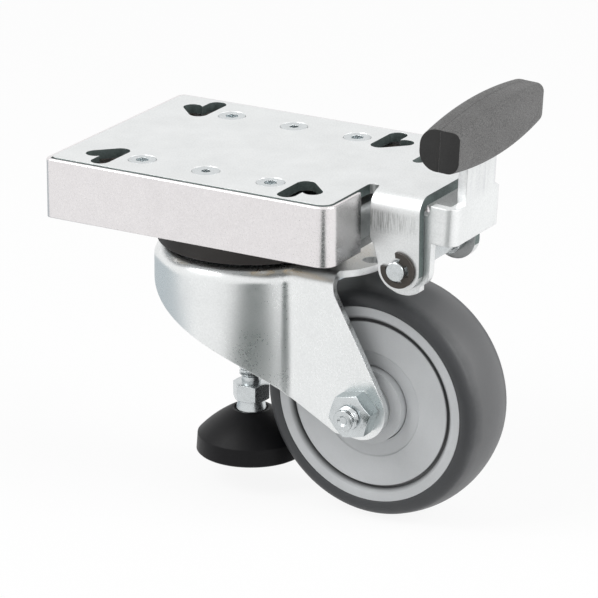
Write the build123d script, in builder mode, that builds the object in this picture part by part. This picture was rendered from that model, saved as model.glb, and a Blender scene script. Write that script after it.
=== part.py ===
"""Levelling castor: a lever-lifted swivel castor with a levelling foot through its kingpin.

Millimetres, +Z up. The origin is the centre of the mounting plate's top face, on the
swivel axis. The wheel trails toward +X, where the lever stands, and axles run along Y.
"""
from build123d import *
import math
import os

os.makedirs("parts", exist_ok=True)

# Driving dimensions: mounting plate with its two bent ears
plate_thickness = 4.0
plate_back = 64.0
plate_front = 65.0
plate_half_width = 51.3
plate_back_corner = 3.0
plate_front_corner = 5.0
relief_width = 5.0
bend_inner = 3.0
ear_outer = 26.0
ear_length = 22.0
ear_lobe_radius = 9.2
ear_neck_drop = 19.0
ear_step_drop = 26.0
ear_step_fillet = 3.0

# Mounting slots and countersunk screws
slot_width = 8.0
slot_x = 43.5
slot_travel = 15.0
slot_edge_distance = 5.8
slot_branch = 7.3
screw_pitch = 30.0
screw_row = 35.3
screw_head = 12.0
screw_shank = 6.0
screw_length = 14.0

# Skirt around the plate
skirt_wall = 2.0
skirt_gap = 0.1
skirt_top = 0.3
skirt_height = 24.9
skirt_back_radius = 3.6
skirt_front_radius = 6.5
skirt_opening = 28.0

# Lever pin and its clips
pin_x = 83.0
pin_drop = 30.5
pin_diameter = 8.0
pin_overhang = 3.4
clip_thickness = 1.2
clip_outer = 14.8
clip_groove = 6.6
clip_mouth = 75.0
collar_outer = 10.8
collar_length = 6.0
clip_band = 2.2

# Lift travel, carrier and its guides
lift_travel = 3.9
carrier_top = 22.0
carrier_thickness = 3.5
carrier_end_gap = 4.0
carrier_side_gap = 1.8
guide_diameter = 10.0
guide_bush_wall = 2.5
guide_bush_height = 13.0
bracket_wall = 3.0
bracket_half_width = 26.2
bracket_back = 22.0
bracket_top = 8.1
arm_thickness = 4.0
arm_near_side = 16.5
arm_eye_wall = 3.3
arm_eye_depth = 7.0
arm_back_x = 32.0
seam = 0.45

# Lever, its eccentric hub and the handle
lever_swing = 75.0
lever_lean = 3.0
lever_sheet = 4.0
lever_cheek_outer = 21.7
lever_bend = 4.8
web_reach = 21.4
web_bottom = 12.3
web_top = 27.8
web_top_far = 31.3
web_far_side = 15.4
blade_half_width = 11.5
hub_radius = 8.6
handle_length = 71.5
handle_shift = 0.75
handle_height_at = 57.2
handle_rise = 1.8
blade_top = 58.0
cheek_back = 7.7
cheek_step_height = 13.0
cheek_shoulder_height = 23.5
cheek_shoulder_reach = 9.6
web_corner_drop = 2.5
blade_near_side = 13.0
cheek_leg = 11.65
handle_end_width = 17.5
handle_end_height = 17.3
handle_mid_width = 20.0
handle_mid_height = 22.9
handle_corner_low = 5.2
handle_corner_high = 3.2

# Swivel head
fork_sheet = 3.0
fork_top = 38.5
fork_head_radius = 39.8
fork_half_width = 24.5
fork_shoulder = 7.0
nose_front = 61.5
nose_radius = 22.8
nose_hole = 8.0
kingpin_outer = 22.0
kingpin_bore = 15.2
kingpin_flange = 30.0
kingpin_flange_height = 4.0
kingpin_nut_flats = 30.0
kingpin_nut_height = 6.8
thrust_thickness = 1.6
ball_diameter = 8.0
ball_circle_diameter = 54.0
ball_count = 18
race_inner = 14.0
race_outer = 34.0
race_height = 4.0
dust_ring_radius = 38.5
dust_ring_wall = 2.5
dust_ring_gap = 1.0

# Wheel and axle
wheel_diameter = 100.0
wheel_clearance = 2.9
pad_wheel_gap = 1.3825
tyre_half_width = 16.0
tyre_crown = 2.82
rim_outer = 41.6
rim_inner = 36.2
rim_half_width = 15.8
rim_barrel_inner = 29.0
rim_disc_inner = 12.0
rim_disc_outer = 30.0
rim_disc_thickness = 6.0
cover_radius = 35.2
cover_recess = 1.1
cover_thickness = 1.8
cover_step_radius = 22.7
hub_outer = 16.0
hub_half_width = 17.5
axle_diameter = 10.0
axle_nut_flats = 17.0
axle_nut_height = 8.0
axle_head_height = 6.4
axle_end = 5.0
sleeve_outer = 15.0
collar_reach = 11.0
bush_wall = 3.5
lug_radius = 12.3
fork_cheek_front = 52.2
fork_crease = 31.4
fork_back_drop = 49.0
fork_edge_low_x = 23.0
fork_edge_low_drop = 85.2
fork_edge_mid_x = 10.8
fork_edge_mid_drop = 77.4
fork_edge_high_x = -17.3
fork_edge_high_drop = 64.0
nose_hole_inset = 4.5
fork_throat = 7.0
nut_turn = 12.0

# Levelling foot
stem_diameter = 10.0
stem_neck = 8.1
stem_top = 8.0
neck_length = 3.7
hex_above_ball = 13.5
hex_height = 7.5
hex_flats = 13.8
ball_joint_radius = 6.75
ball_joint_height = 16.5
pad_radius = 23.0
foot_raise = 12.9
pad_height = 18.6
pad_rim_height = 7.5
pad_crown_radius = 8.2
pad_mouth = 7.2
pad_draft = 0.5
neck_radius = 5.3
neck_flare = 0.9
hex_turn = 12.0
foot_sleeve_outer = 14.0
foot_sleeve_length = 36.0

# Clearances
running_gap = 0.05
press_gap = 0.02
slide_gap = 0.1
ball_gap = 0.04

# Derived places
neck_half_width = ear_outer - plate_thickness - bend_inner
ear_back = plate_front + relief_width + 0.2
ear_front = ear_back + ear_length
ear_inner = ear_outer - plate_thickness
carrier_bottom = carrier_top + carrier_thickness
carrier_front = plate_front - 0.5
skirt_back = plate_back + skirt_gap + skirt_wall
skirt_front = plate_front + skirt_gap + skirt_wall
skirt_half_width = plate_half_width + skirt_gap + skirt_wall
slot_y_outer = plate_half_width - slot_edge_distance
slot_y_inner = slot_y_outer - slot_travel
carrier_back = plate_back - carrier_end_gap
carrier_half_width = plate_half_width - carrier_side_gap
hub_offset = lift_travel / (2 * math.sin(math.radians(lever_swing / 2)))
hub_angle = math.radians(180 + lever_swing / 2)
hub_x = pin_x + hub_offset * math.cos(hub_angle)
hub_z = -pin_drop + hub_offset * math.sin(hub_angle)
cheek_inner = lever_cheek_outer - lever_sheet
fork_underside = fork_top + fork_sheet
ball_centre_z = -(carrier_bottom + (fork_top - carrier_bottom) / 2)
fork_inner = fork_half_width - fork_sheet
wheel_radius = wheel_diameter / 2
wheel_drop = fork_underside + wheel_clearance + wheel_radius
pad_bottom = wheel_drop + wheel_radius - foot_raise
pad_crown_drop = pad_bottom - pad_height
ball_joint_drop = pad_bottom - ball_joint_height
hex_top = ball_joint_drop - hex_above_ball
stem_neck_top = hex_top - neck_length
# The wheel trails just far enough to clear the foot pad's rim
pad_rim_level = wheel_radius - foot_raise - pad_rim_height
wheel_x = pad_radius - pad_draft + math.sqrt((wheel_radius + pad_wheel_gap) ** 2 - pad_rim_level**2)


def side_offset(y):
    """A plane like XZ whose normal points toward -Y, standing at the given Y."""
    return Plane.XZ.offset(-y)


lever_frame = Plane(
    origin=(pin_x, 0, -pin_drop),
    x_dir=(math.cos(math.radians(lever_lean)), 0, -math.sin(math.radians(lever_lean))),
    z_dir=(0, -1, 0),
)
# Same origin, looking down the leaning lever: local x is outward, local y is +Y
lever_plan = Plane(origin=lever_frame.origin, x_dir=lever_frame.x_dir, z_dir=lever_frame.y_dir)
# Looking along the outward direction: local x is +Y, local y is up the lever
lever_front = Plane(origin=lever_frame.origin, x_dir=(0, 1, 0), z_dir=lever_frame.x_dir)

screw_places = [(x, y) for x in (-screw_pitch, screw_pitch) for y in (-screw_row, screw_row)]
middle_places = [(0, -screw_row), (0, screw_row)]


def save(piece, name):
    piece.part.label = name
    export_step(piece.part, f"parts/{name}.step")


# Mounting plate: sheet with a neck, two ears bent down and the slots
with BuildPart() as top_plate:
    with BuildSketch(Plane.XY.offset(-plate_thickness)) as sheet:
        with Locations(((plate_front - plate_back) / 2, 0)):
            Rectangle(plate_back + plate_front, 2 * plate_half_width)
        fillet(sheet.vertices().group_by(Axis.X)[0], plate_back_corner)
        fillet(sheet.vertices().group_by(Axis.X)[-1], plate_front_corner)
        with Locations(((plate_front + ear_front) / 2 - 1, 0)):
            Rectangle(ear_front - plate_front + 2, 2 * neck_half_width)
        with Locations(*[(plate_front + relief_width / 2, s * neck_half_width) for s in (-1, 1)]):
            Circle(relief_width / 2, mode=Mode.SUBTRACT)
    extrude(amount=plate_thickness)
    with BuildSketch(Plane.YZ.offset(ear_back)):
        with Locations((0, -pin_drop)):
            outside = Rectangle(2 * ear_outer, 2 * pin_drop)
        fillet(outside.vertices().group_by(Axis.Y)[-1], bend_inner + plate_thickness)
        with BuildSketch(mode=Mode.PRIVATE) as channel_inside:
            with Locations((0, -pin_drop - plate_thickness)):
                Rectangle(2 * ear_inner, 2 * pin_drop)
            fillet(channel_inside.vertices().group_by(Axis.Y)[-1], bend_inner)
        add(channel_inside.sketch, mode=Mode.SUBTRACT)
    extrude(amount=ear_length)
    ear_cut_depth = 2 * ear_outer + 2
    with BuildSketch(side_offset(-ear_outer - 1)) as ear_waste:
        with Locations(((ear_back + ear_front) / 2, -pin_drop - 5)):
            Rectangle(ear_length + 2, 2 * pin_drop - 10)
        with BuildSketch(side_offset(-ear_outer - 1), mode=Mode.PRIVATE) as ear_shape:
            with BuildLine():
                left = pin_x - ear_lobe_radius
                right = pin_x + ear_lobe_radius
                Polyline(
                    (left, -pin_drop), (left, -ear_step_drop), (ear_back, -ear_neck_drop),
                    (ear_back, -plate_thickness), (ear_front, -plate_thickness),
                    (right, -pin_drop),
                )
                ThreePointArc((right, -pin_drop), (pin_x, -pin_drop - ear_lobe_radius), (left, -pin_drop))
            make_face()
            step = ear_shape.vertices().filter_by(lambda v: -ear_step_drop - 1 < v.Z < -ear_neck_drop + 1)
            fillet(step, ear_step_fillet)
        add(ear_shape.sketch, mode=Mode.SUBTRACT)
    extrude(amount=-ear_cut_depth, mode=Mode.SUBTRACT)
    with BuildSketch(side_offset(-ear_outer - 1)):
        with Locations((pin_x, -pin_drop)):
            Circle(pin_diameter / 2 + running_gap)
    extrude(amount=-ear_cut_depth, mode=Mode.SUBTRACT)
    with BuildSketch(Plane.XY):
        for sx in (-1, 1):
            for sy in (-1, 1):
                with Locations((sx * slot_x, sy * (slot_y_inner + slot_y_outer) / 2)):
                    SlotCenterToCenter(slot_y_outer - slot_y_inner, slot_width, rotation=90)
                with Locations((sx * (slot_x + slot_branch / 2), sy * (slot_y_inner + slot_branch / 2))):
                    SlotCenterToCenter(slot_branch * math.sqrt(2), slot_width, rotation=45 * sx * sy)
    extrude(amount=-plate_thickness, mode=Mode.SUBTRACT)
    with Locations(*[(x, y, 0) for x, y in screw_places + middle_places]):
        CounterSinkHole(screw_shank / 2 + slide_gap, screw_head / 2 + running_gap, depth=plate_thickness)
save(top_plate, "top_plate")


# Skirt: a band around the plate, open at the front between the two returns
with BuildPart() as skirt:
    with BuildSketch(Plane.XY.offset(-skirt_top - skirt_height)) as band:
        with Locations(((skirt_front - skirt_back) / 2, 0)):
            Rectangle(skirt_front + skirt_back, 2 * skirt_half_width)
        fillet(band.vertices().group_by(Axis.X)[0], skirt_back_radius)
        fillet(band.vertices().group_by(Axis.X)[-1], skirt_front_radius)
    extrude(amount=skirt_height)
    fillet(skirt.edges().group_by(Axis.Z)[-1], skirt_wall * 0.4)
    with BuildSketch(Plane.XY) as inside:
        with Locations(((skirt_front - skirt_back) / 2, 0)):
            Rectangle(skirt_front + skirt_back - 2 * skirt_wall, 2 * (skirt_half_width - skirt_wall))
        fillet(inside.vertices().group_by(Axis.X)[0], skirt_back_radius - skirt_wall)
        fillet(inside.vertices().group_by(Axis.X)[-1], skirt_front_radius - skirt_wall)
        with Locations((skirt_front, 0)):
            Rectangle(3 * skirt_wall, 2 * skirt_opening)
    extrude(amount=-skirt_top - skirt_height, mode=Mode.SUBTRACT)
save(skirt, "skirt")


def flat_head_screw(x, y, socket_flats):
    """One countersunk screw, head flush with the plate, hexagon socket in its top."""
    with BuildSketch(Plane.XY.offset(-screw_length)) as shank:
        with Locations((x, y)):
            Circle(screw_shank / 2)
    extrude(shank.sketch, amount=screw_length - 0.15)
    with BuildSketch(Plane.XY.offset(-0.15)) as rim:
        with Locations((x, y)):
            Circle(screw_head / 2 - 0.3)
    with BuildSketch(Plane.XY.offset(-0.15 - (screw_head - screw_shank) / 2 + 0.3)) as root:
        with Locations((x, y)):
            Circle(screw_shank / 2)
    loft(sections=[rim.sketch, root.sketch])
    with BuildSketch(Plane.XY) as socket:
        with Locations((x, y)):
            RegularPolygon(socket_flats / 2, 6, major_radius=False)
    extrude(socket.sketch, amount=-2.6, mode=Mode.SUBTRACT)


# Outer screws hold the four guide posts, middle screws the two stop posts
with BuildPart() as plate_screws:
    for screw_x, screw_y in screw_places:
        flat_head_screw(screw_x, screw_y, 5.0)
save(plate_screws, "plate_screws")

with BuildPart() as middle_screws:
    for screw_x, screw_y in middle_places:
        flat_head_screw(screw_x, screw_y, 3.6)
save(middle_screws, "middle_screws")


def post_row(places, diameter, bottom):
    """Round posts under the plate, bored for the screw that holds each one."""
    with BuildSketch(Plane.XY.offset(-plate_thickness)) as outline:
        with Locations(*places):
            Circle(diameter / 2)
    extrude(outline.sketch, amount=bottom + plate_thickness)
    with BuildSketch(Plane.XY.offset(-plate_thickness)) as bore:
        with Locations(*places):
            Circle(screw_shank / 2 + press_gap)
    extrude(bore.sketch, amount=plate_thickness - screw_length - 0.5, mode=Mode.SUBTRACT)


with BuildPart() as guide_posts:
    post_row(screw_places, guide_diameter, -carrier_bottom + 0.5)
save(guide_posts, "guide_posts")

# Stop posts end where the raised carrier would meet them
with BuildPart() as stop_posts:
    post_row(middle_places, guide_diameter + 2, -(carrier_top - lift_travel - slide_gap))
save(stop_posts, "stop_posts")

# Threaded sleeve for the foot, welded under the plate
with BuildPart() as foot_sleeve:
    with BuildSketch(Plane.XY.offset(-plate_thickness)):
        Circle(foot_sleeve_outer / 2)
        Circle(stem_diameter / 2 + running_gap, mode=Mode.SUBTRACT)
    extrude(amount=-foot_sleeve_length)
    chamfer(foot_sleeve.edges().group_by(Axis.Z)[0], 0.5)
save(foot_sleeve, "foot_sleeve")

# Lever pin with a groove for a clip at each end
pin_half = ear_outer + pin_overhang
clip_y = ear_outer + slide_gap
with BuildPart() as lever_pin:
    with BuildSketch(side_offset(-pin_half)):
        with Locations((pin_x, -pin_drop)):
            Circle(pin_diameter / 2)
    extrude(amount=-2 * pin_half)
    chamfer(lever_pin.edges().filter_by(GeomType.CIRCLE), 0.4)
    for groove_y in (-clip_y - clip_thickness - slide_gap, clip_y - slide_gap):
        with BuildSketch(side_offset(groove_y)):
            with Locations((pin_x, -pin_drop)):
                Circle(pin_diameter / 2 + 1)
                Circle(clip_groove / 2, mode=Mode.SUBTRACT)
        extrude(amount=-clip_thickness - 2 * slide_gap, mode=Mode.SUBTRACT)
save(lever_pin, "lever_pin")


def pin_clip(y, mouth_angle):
    """A spring clip: a ring with a mouth and three teeth that reach into the groove."""
    reach = clip_outer
    mouth_ends = []
    for side in (-1, 1):
        turn = math.radians(mouth_angle + side * clip_mouth / 2)
        mouth_ends.append((pin_x + reach * math.cos(turn), -pin_drop + reach * math.sin(turn)))
    with BuildSketch(side_offset(y)) as ring:
        with Locations((pin_x, -pin_drop)):
            Circle(clip_outer / 2)
            Circle(clip_outer / 2 - clip_band, mode=Mode.SUBTRACT)
        for tooth in (-100, 0, 100):
            turn = math.radians(mouth_angle + 180 + tooth)
            tooth_x = pin_x + (clip_groove / 2 + 1.0) * math.cos(turn)
            tooth_z = -pin_drop + (clip_groove / 2 + 1.0) * math.sin(turn)
            with Locations((tooth_x, tooth_z)):
                Rectangle(2.4, 3.2, rotation=mouth_angle + tooth)
        with Locations((pin_x, -pin_drop)):
            Circle(clip_groove / 2 + running_gap, mode=Mode.SUBTRACT)
        with BuildLine():
            Polyline((pin_x, -pin_drop), mouth_ends[0], mouth_ends[1], close=True)
        make_face(mode=Mode.SUBTRACT)
    extrude(ring.sketch, amount=clip_thickness)


with BuildPart() as pin_clips:
    pin_clip(-clip_y, 135)
    pin_clip(clip_y + clip_thickness, 45)
save(pin_clips, "pin_clips")

# Collar on the pin beside the far ear
with BuildPart() as pin_collar:
    with BuildSketch(side_offset(ear_inner - collar_length)):
        with Locations((pin_x, -pin_drop)):
            Circle(collar_outer / 2)
            Circle(pin_diameter / 2 + running_gap, mode=Mode.SUBTRACT)
    extrude(amount=-collar_length + slide_gap)
    chamfer(pin_collar.edges().group_by(Axis.Y)[0].filter_by(GeomType.CIRCLE)[0:1], 0.3)
save(pin_collar, "pin_collar")

# Carrier plate: slides up on the guide posts, with windows to reach the mounting bolts
bush_outer = guide_diameter / 2 + guide_bush_wall
with BuildPart() as carrier_plate:
    with BuildSketch(Plane.XY.offset(-carrier_bottom)):
        with Locations(((carrier_front - carrier_back) / 2, 0)):
            bed = Rectangle(carrier_front + carrier_back, 2 * carrier_half_width)
        fillet(bed.vertices(), skirt_front_radius - skirt_wall)
        Circle(kingpin_outer / 2 + press_gap, mode=Mode.SUBTRACT)
        with Locations(*screw_places):
            Circle(bush_outer + press_gap, mode=Mode.SUBTRACT)
        window_y = (slot_y_inner + slot_y_outer) / 2
        with GridLocations(2 * (slot_x + slot_branch / 2), 2 * window_y, 2, 2):
            Circle(slot_width, mode=Mode.SUBTRACT)
    extrude(amount=carrier_thickness)
save(carrier_plate, "carrier_plate")

with BuildPart() as guide_bushes:
    with BuildSketch(Plane.XY.offset(-carrier_bottom)):
        with Locations(*screw_places):
            Circle(bush_outer)
            Circle(guide_diameter / 2 + running_gap, mode=Mode.SUBTRACT)
    extrude(amount=guide_bush_height)
save(guide_bushes, "guide_bushes")

# Lift bracket: a folded hood on the carrier whose front wall closes the skirt's opening
bracket_height = carrier_top - bracket_top
with BuildPart() as lift_bracket:
    with BuildSketch(Plane.XY.offset(-carrier_top)):
        with Locations(((carrier_front + 0.5 - bracket_back) / 2, 0)):
            Rectangle(carrier_front + 0.5 + bracket_back, 2 * bracket_half_width)
    extrude(amount=bracket_height)
    fillet(lift_bracket.edges().group_by(Axis.Z)[-1], bracket_wall * 0.6)
    with BuildSketch(Plane.XY.offset(-carrier_top)):
        with Locations(((carrier_front + 0.5 - bracket_back) / 2 - bracket_wall, 0)):
            Rectangle(carrier_front + 0.5 + bracket_back, 2 * (bracket_half_width - bracket_wall))
    extrude(amount=bracket_height - bracket_wall, mode=Mode.SUBTRACT)
    with BuildSketch(Plane.XY.offset(-carrier_top)):
        with Locations((carrier_front, 0)):
            Rectangle(4 * bracket_wall, 2 * bracket_half_width + 2)
    extrude(amount=seam, mode=Mode.SUBTRACT)
    with BuildSketch(Plane.XY.offset(-bracket_top)):
        Circle(foot_sleeve_outer / 2 + 2)
    extrude(amount=-bracket_wall, mode=Mode.SUBTRACT)
    with BuildSketch(Plane.YZ.offset(carrier_front - 2 * bracket_wall)):
        with Locations((-arm_near_side + arm_thickness / 2, -carrier_top)):
            Rectangle(arm_thickness + 2 * slide_gap, 2 * (bracket_height - bracket_wall))
    extrude(amount=4 * bracket_wall, mode=Mode.SUBTRACT)
save(lift_bracket, "lift_bracket")

# Lift arm: a plate on edge whose open eye hooks round the lever's eccentric hub
eye_outer = hub_radius + arm_eye_wall
arm_top = -(bracket_top + bracket_wall + 1.5)
with BuildPart() as lift_arm:
    with BuildSketch(side_offset(-arm_near_side)):
        with BuildLine():
            Polyline(
                (arm_back_x, -carrier_top), (arm_back_x, arm_top), (carrier_front + 8, arm_top),
                (hub_x, hub_z + eye_outer), (hub_x - eye_outer, hub_z),
                (carrier_front + 1, -carrier_top), close=True,
            )
        make_face()
        with Locations((hub_x, hub_z)):
            Circle(eye_outer)
            Circle(hub_radius + slide_gap, mode=Mode.SUBTRACT)
            Rectangle(1.6, 2 * (hub_radius + slide_gap), mode=Mode.SUBTRACT)
        with Locations((hub_x - 0.8, hub_z)):
            Circle(hub_radius + slide_gap, mode=Mode.SUBTRACT)
        with Locations((hub_x + arm_eye_depth + eye_outer, hub_z)):
            Rectangle(2 * eye_outer, 3 * eye_outer, mode=Mode.SUBTRACT)
    extrude(amount=-arm_thickness)
save(lift_arm, "lift_arm")

# Kingpin: a flanged tube through the carrier, with its nut below the fork
kingpin_bottom = fork_underside + thrust_thickness + 2 * slide_gap + kingpin_nut_height
with BuildPart() as kingpin:
    with BuildSketch(Plane.XY.offset(-kingpin_bottom)):
        Circle(kingpin_outer / 2)
        Circle(kingpin_bore / 2, mode=Mode.SUBTRACT)
    extrude(amount=kingpin_bottom - carrier_top + kingpin_flange_height)
    with BuildSketch(Plane.XY.offset(-carrier_top)):
        Circle(kingpin_flange / 2)
        Circle(kingpin_bore / 2, mode=Mode.SUBTRACT)
    extrude(amount=kingpin_flange_height)
    chamfer(kingpin.edges().filter_by(GeomType.CIRCLE).group_by(Axis.Z)[-1], 0.5)
save(kingpin, "kingpin")

with BuildPart() as kingpin_nut:
    with BuildSketch(Plane.XY.offset(-kingpin_bottom)):
        RegularPolygon(kingpin_nut_flats / 2, 6, major_radius=False)
        Circle(kingpin_outer / 2 + press_gap, mode=Mode.SUBTRACT)
    extrude(amount=kingpin_nut_height)
save(kingpin_nut, "kingpin_nut")

# Ball races face each other across one row of balls
def race(base, height):
    """A flat ring with the groove of the ball row turned into its face."""
    with BuildSketch(Plane.XY.offset(base)) as ring:
        Circle(race_outer)
        Circle(race_inner, mode=Mode.SUBTRACT)
    extrude(ring.sketch, amount=height)
    with BuildSketch(Plane.XZ) as groove:
        with Locations((ball_circle_diameter / 2, ball_centre_z)):
            Circle(ball_diameter / 2 + ball_gap)
    revolve(groove.sketch, axis=Axis.Z, mode=Mode.SUBTRACT)


with BuildPart() as upper_race:
    race(-carrier_bottom, -race_height)
save(upper_race, "upper_race")

with BuildPart() as lower_race:
    race(-fork_top, race_height)
save(lower_race, "lower_race")

with BuildPart() as race_balls:
    with Locations((0, 0, ball_centre_z)):
        with PolarLocations(ball_circle_diameter / 2, ball_count):
            Sphere(ball_diameter / 2)
save(race_balls, "race_balls")

# Dust ring: a lipped collar under the carrier, round the ball row
with BuildPart() as dust_ring:
    ring_height = fork_top - dust_ring_gap - carrier_bottom
    with BuildSketch(Plane.XY.offset(-carrier_bottom)):
        Circle(dust_ring_radius)
        Circle(dust_ring_radius - dust_ring_wall, mode=Mode.SUBTRACT)
    extrude(amount=-ring_height)
    with BuildSketch(Plane.XY.offset(-carrier_bottom)):
        Circle(dust_ring_radius)
        Circle(race_outer + 0.2, mode=Mode.SUBTRACT)
    extrude(amount=-1.5)
    fillet(dust_ring.edges().filter_by(GeomType.CIRCLE).group_by(Axis.Z)[0], 0.6)
save(dust_ring, "dust_ring")


fork_front = wheel_x + lug_radius
fork_depth = wheel_drop + lug_radius - fork_top + 5


def fork_body(inset, front):
    """The fork's outer or inner form: a round head, closed on top, running into flat cheeks."""
    half = fork_half_width - inset
    radius = fork_head_radius - inset
    throat = fork_throat + inset
    # The concave throat touches the head circle and the cheek line
    throat_x = math.sqrt((radius + throat) ** 2 - (half + throat) ** 2)
    touch_x = throat_x * radius / (radius + throat)
    touch_y = (half + throat) * radius / (radius + throat)
    half_turn = 0.5 * math.acos((half + throat) / (radius + throat))
    bend_x = throat_x - throat * math.sin(half_turn)
    bend_y = half + throat - throat * math.cos(half_turn)
    with BuildSketch(Plane.XY.offset(-fork_top - fork_depth)) as plan:
        with BuildLine():
            ThreePointArc((touch_x, touch_y), (-radius, 0), (touch_x, -touch_y))
            ThreePointArc((touch_x, -touch_y), (bend_x, -bend_y), (throat_x, -half))
            Polyline((throat_x, -half), (front, -half), (front, half), (throat_x, half))
            ThreePointArc((throat_x, half), (bend_x, bend_y), (touch_x, touch_y))
        make_face()
    extrude(plan.sketch, amount=fork_depth - inset)


def tangent_from(point, centre, radius, side):
    """Where a line from a point touches a circle, on its left (+1) or right (-1) side."""
    dx = centre[0] - point[0]
    dz = centre[1] - point[1]
    reach = math.hypot(dx, dz)
    turn = math.atan2(dz, dx) + side * math.asin(radius / reach)
    length = math.sqrt(reach**2 - radius**2)
    return point[0] + length * math.cos(turn), point[1] + length * math.sin(turn)


# Fork: drawn sheet, a round head closed on top running into two flat cheeks
with BuildPart() as fork_hollow:
    fork_body(fork_sheet, fork_front + 20)
    fillet(fork_hollow.faces().sort_by(Axis.Z)[-1].edges(), fork_shoulder - fork_sheet)

axle = (wheel_x, -wheel_drop)
cheek_top = (fork_cheek_front, -fork_underside - 0.5)
cheek_knee = (fork_cheek_front + 0.9, -fork_underside - 5.5)
cheek_front_low = (wheel_x + 6.3, -wheel_drop + 14.6)
lug_front = tangent_from(cheek_front_low, axle, lug_radius, 1)
lug_back = (wheel_x - 10.5, -wheel_drop - lug_radius + 0.9)
crease_low = (fork_crease, -wheel_drop + 0.9)
with BuildPart() as fork:
    fork_body(0, fork_front)
    fillet(fork.faces().sort_by(Axis.Z)[-1].edges(), fork_shoulder)
    add(fork_hollow.part, mode=Mode.SUBTRACT)
    # Side outline: cheeks slope down to the lugs, the head's lower edge rises to the back
    with BuildSketch(side_offset(-fork_head_radius - 1)):
        with BuildLine():
            Polyline(
                (-fork_head_radius - 1, -fork_back_drop), (-fork_head_radius - 1, 1 - fork_top),
                (nose_front + 1, 1 - fork_top), (nose_front + 1, -fork_underside),
                cheek_top, cheek_knee, cheek_front_low, lug_front, axle,
                (wheel_x, -wheel_drop - lug_radius), lug_back, crease_low,
            )
            Spline(
                crease_low, (fork_edge_low_x, -fork_edge_low_drop), (fork_edge_mid_x, -fork_edge_mid_drop),
                (fork_edge_high_x, -fork_edge_high_drop),
                (-fork_head_radius - 1, -fork_back_drop),
            )
        make_face()
        with Locations(axle):
            Circle(lug_radius)
    extrude(amount=-2 * fork_head_radius - 2, mode=Mode.INTERSECT)
    # Plan of the nose that covers the wheel
    with BuildSketch(Plane.XY.offset(-fork_top + 1)):
        with Locations((fork_cheek_front + fork_head_radius, 0)):
            Rectangle(2 * fork_head_radius, 2 * fork_half_width + 2)
        with Locations((nose_front - nose_radius, 0)):
            Circle(nose_radius, mode=Mode.SUBTRACT)
    extrude(amount=-fork_sheet - 1, mode=Mode.SUBTRACT)
    with BuildSketch(Plane.XY.offset(-fork_top + 1)):
        Circle(kingpin_outer / 2 + 2 * slide_gap)
        with Locations((nose_front - nose_hole_inset, 0)):
            Circle(nose_hole / 2)
    extrude(amount=-fork_sheet - 2, mode=Mode.SUBTRACT)
    with BuildSketch(side_offset(-fork_half_width - 1)):
        with Locations(axle):
            Circle(axle_diameter / 2 + slide_gap)
    extrude(amount=-2 * fork_half_width - 2, mode=Mode.SUBTRACT)
save(fork, "fork")

# Thrust washer between the fork and the kingpin's nut
with BuildPart() as thrust_washer:
    with BuildSketch(Plane.XY.offset(-fork_underside)):
        Circle(kingpin_nut_flats / 2 + 2)
        Circle(kingpin_outer / 2 + 2 * slide_gap, mode=Mode.SUBTRACT)
    extrude(amount=-thrust_thickness)
save(thrust_washer, "thrust_washer")

axle_line = Axis((wheel_x, 0, -wheel_drop), (0, 1, 0))
# Radial half-plane of the wheel: local x is the distance from the axle, local y is +Y
wheel_radial = Plane(origin=(wheel_x, 0, -wheel_drop), x_dir=(0, 0, 1), z_dir=(-1, 0, 0))


def hexagon_blank(plane, axis, low, high, flats):
    """A round blank with both rims chamfered at 30 degrees, for a hexagon to be cut from."""
    corner = flats / math.sqrt(3)
    land = flats / 2 - 0.2
    slope = (corner - land) * math.tan(math.radians(30))
    with BuildSketch(plane) as blank:
        with BuildLine():
            Polyline(
                (0, low), (land, low), (corner, low + slope), (corner, high - slope),
                (land, high), (0, high), close=True,
            )
        make_face()
    revolve(blank.sketch, axis=axis)


# Axle: bolt from the far side, nut on the near side, sleeve and collars between the cheeks
with BuildPart() as axle_bolt:
    head_end = fork_half_width + axle_head_height
    hexagon_blank(wheel_radial, axle_line, fork_half_width, head_end, axle_nut_flats)
    with BuildSketch(side_offset(head_end)):
        with Locations(axle):
            RegularPolygon(axle_nut_flats / 2, 6, major_radius=False, rotation=30)
    extrude(amount=axle_head_height, mode=Mode.INTERSECT)
    with BuildSketch(side_offset(fork_half_width)):
        with Locations(axle):
            Circle(axle_diameter / 2)
    extrude(amount=2 * fork_half_width + axle_nut_height + axle_end)
    chamfer(axle_bolt.faces().sort_by(Axis.Y)[0].edges(), 0.8)
    with BuildSketch(side_offset(-fork_half_width - axle_nut_height - axle_end)):
        with Locations(axle):
            Circle(axle_diameter * 0.22)
    extrude(amount=-1.6, taper=30, mode=Mode.SUBTRACT)
save(axle_bolt, "axle_bolt")

with BuildPart() as axle_nut:
    nut_end = -fork_half_width - axle_nut_height
    hexagon_blank(wheel_radial, axle_line, nut_end, -fork_half_width, axle_nut_flats)
    with BuildSketch(side_offset(-fork_half_width)):
        with Locations(axle):
            RegularPolygon(axle_nut_flats / 2, 6, major_radius=False, rotation=nut_turn)
            Circle(axle_diameter / 2 + press_gap, mode=Mode.SUBTRACT)
    extrude(amount=axle_nut_height, mode=Mode.INTERSECT)
save(axle_nut, "axle_nut")

with BuildPart() as axle_sleeve:
    with BuildSketch(side_offset(-fork_inner + running_gap)):
        with Locations(axle):
            Circle(sleeve_outer / 2)
            Circle(axle_diameter / 2 + slide_gap, mode=Mode.SUBTRACT)
    extrude(amount=-2 * (fork_inner - running_gap))
save(axle_sleeve, "axle_sleeve")

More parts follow.
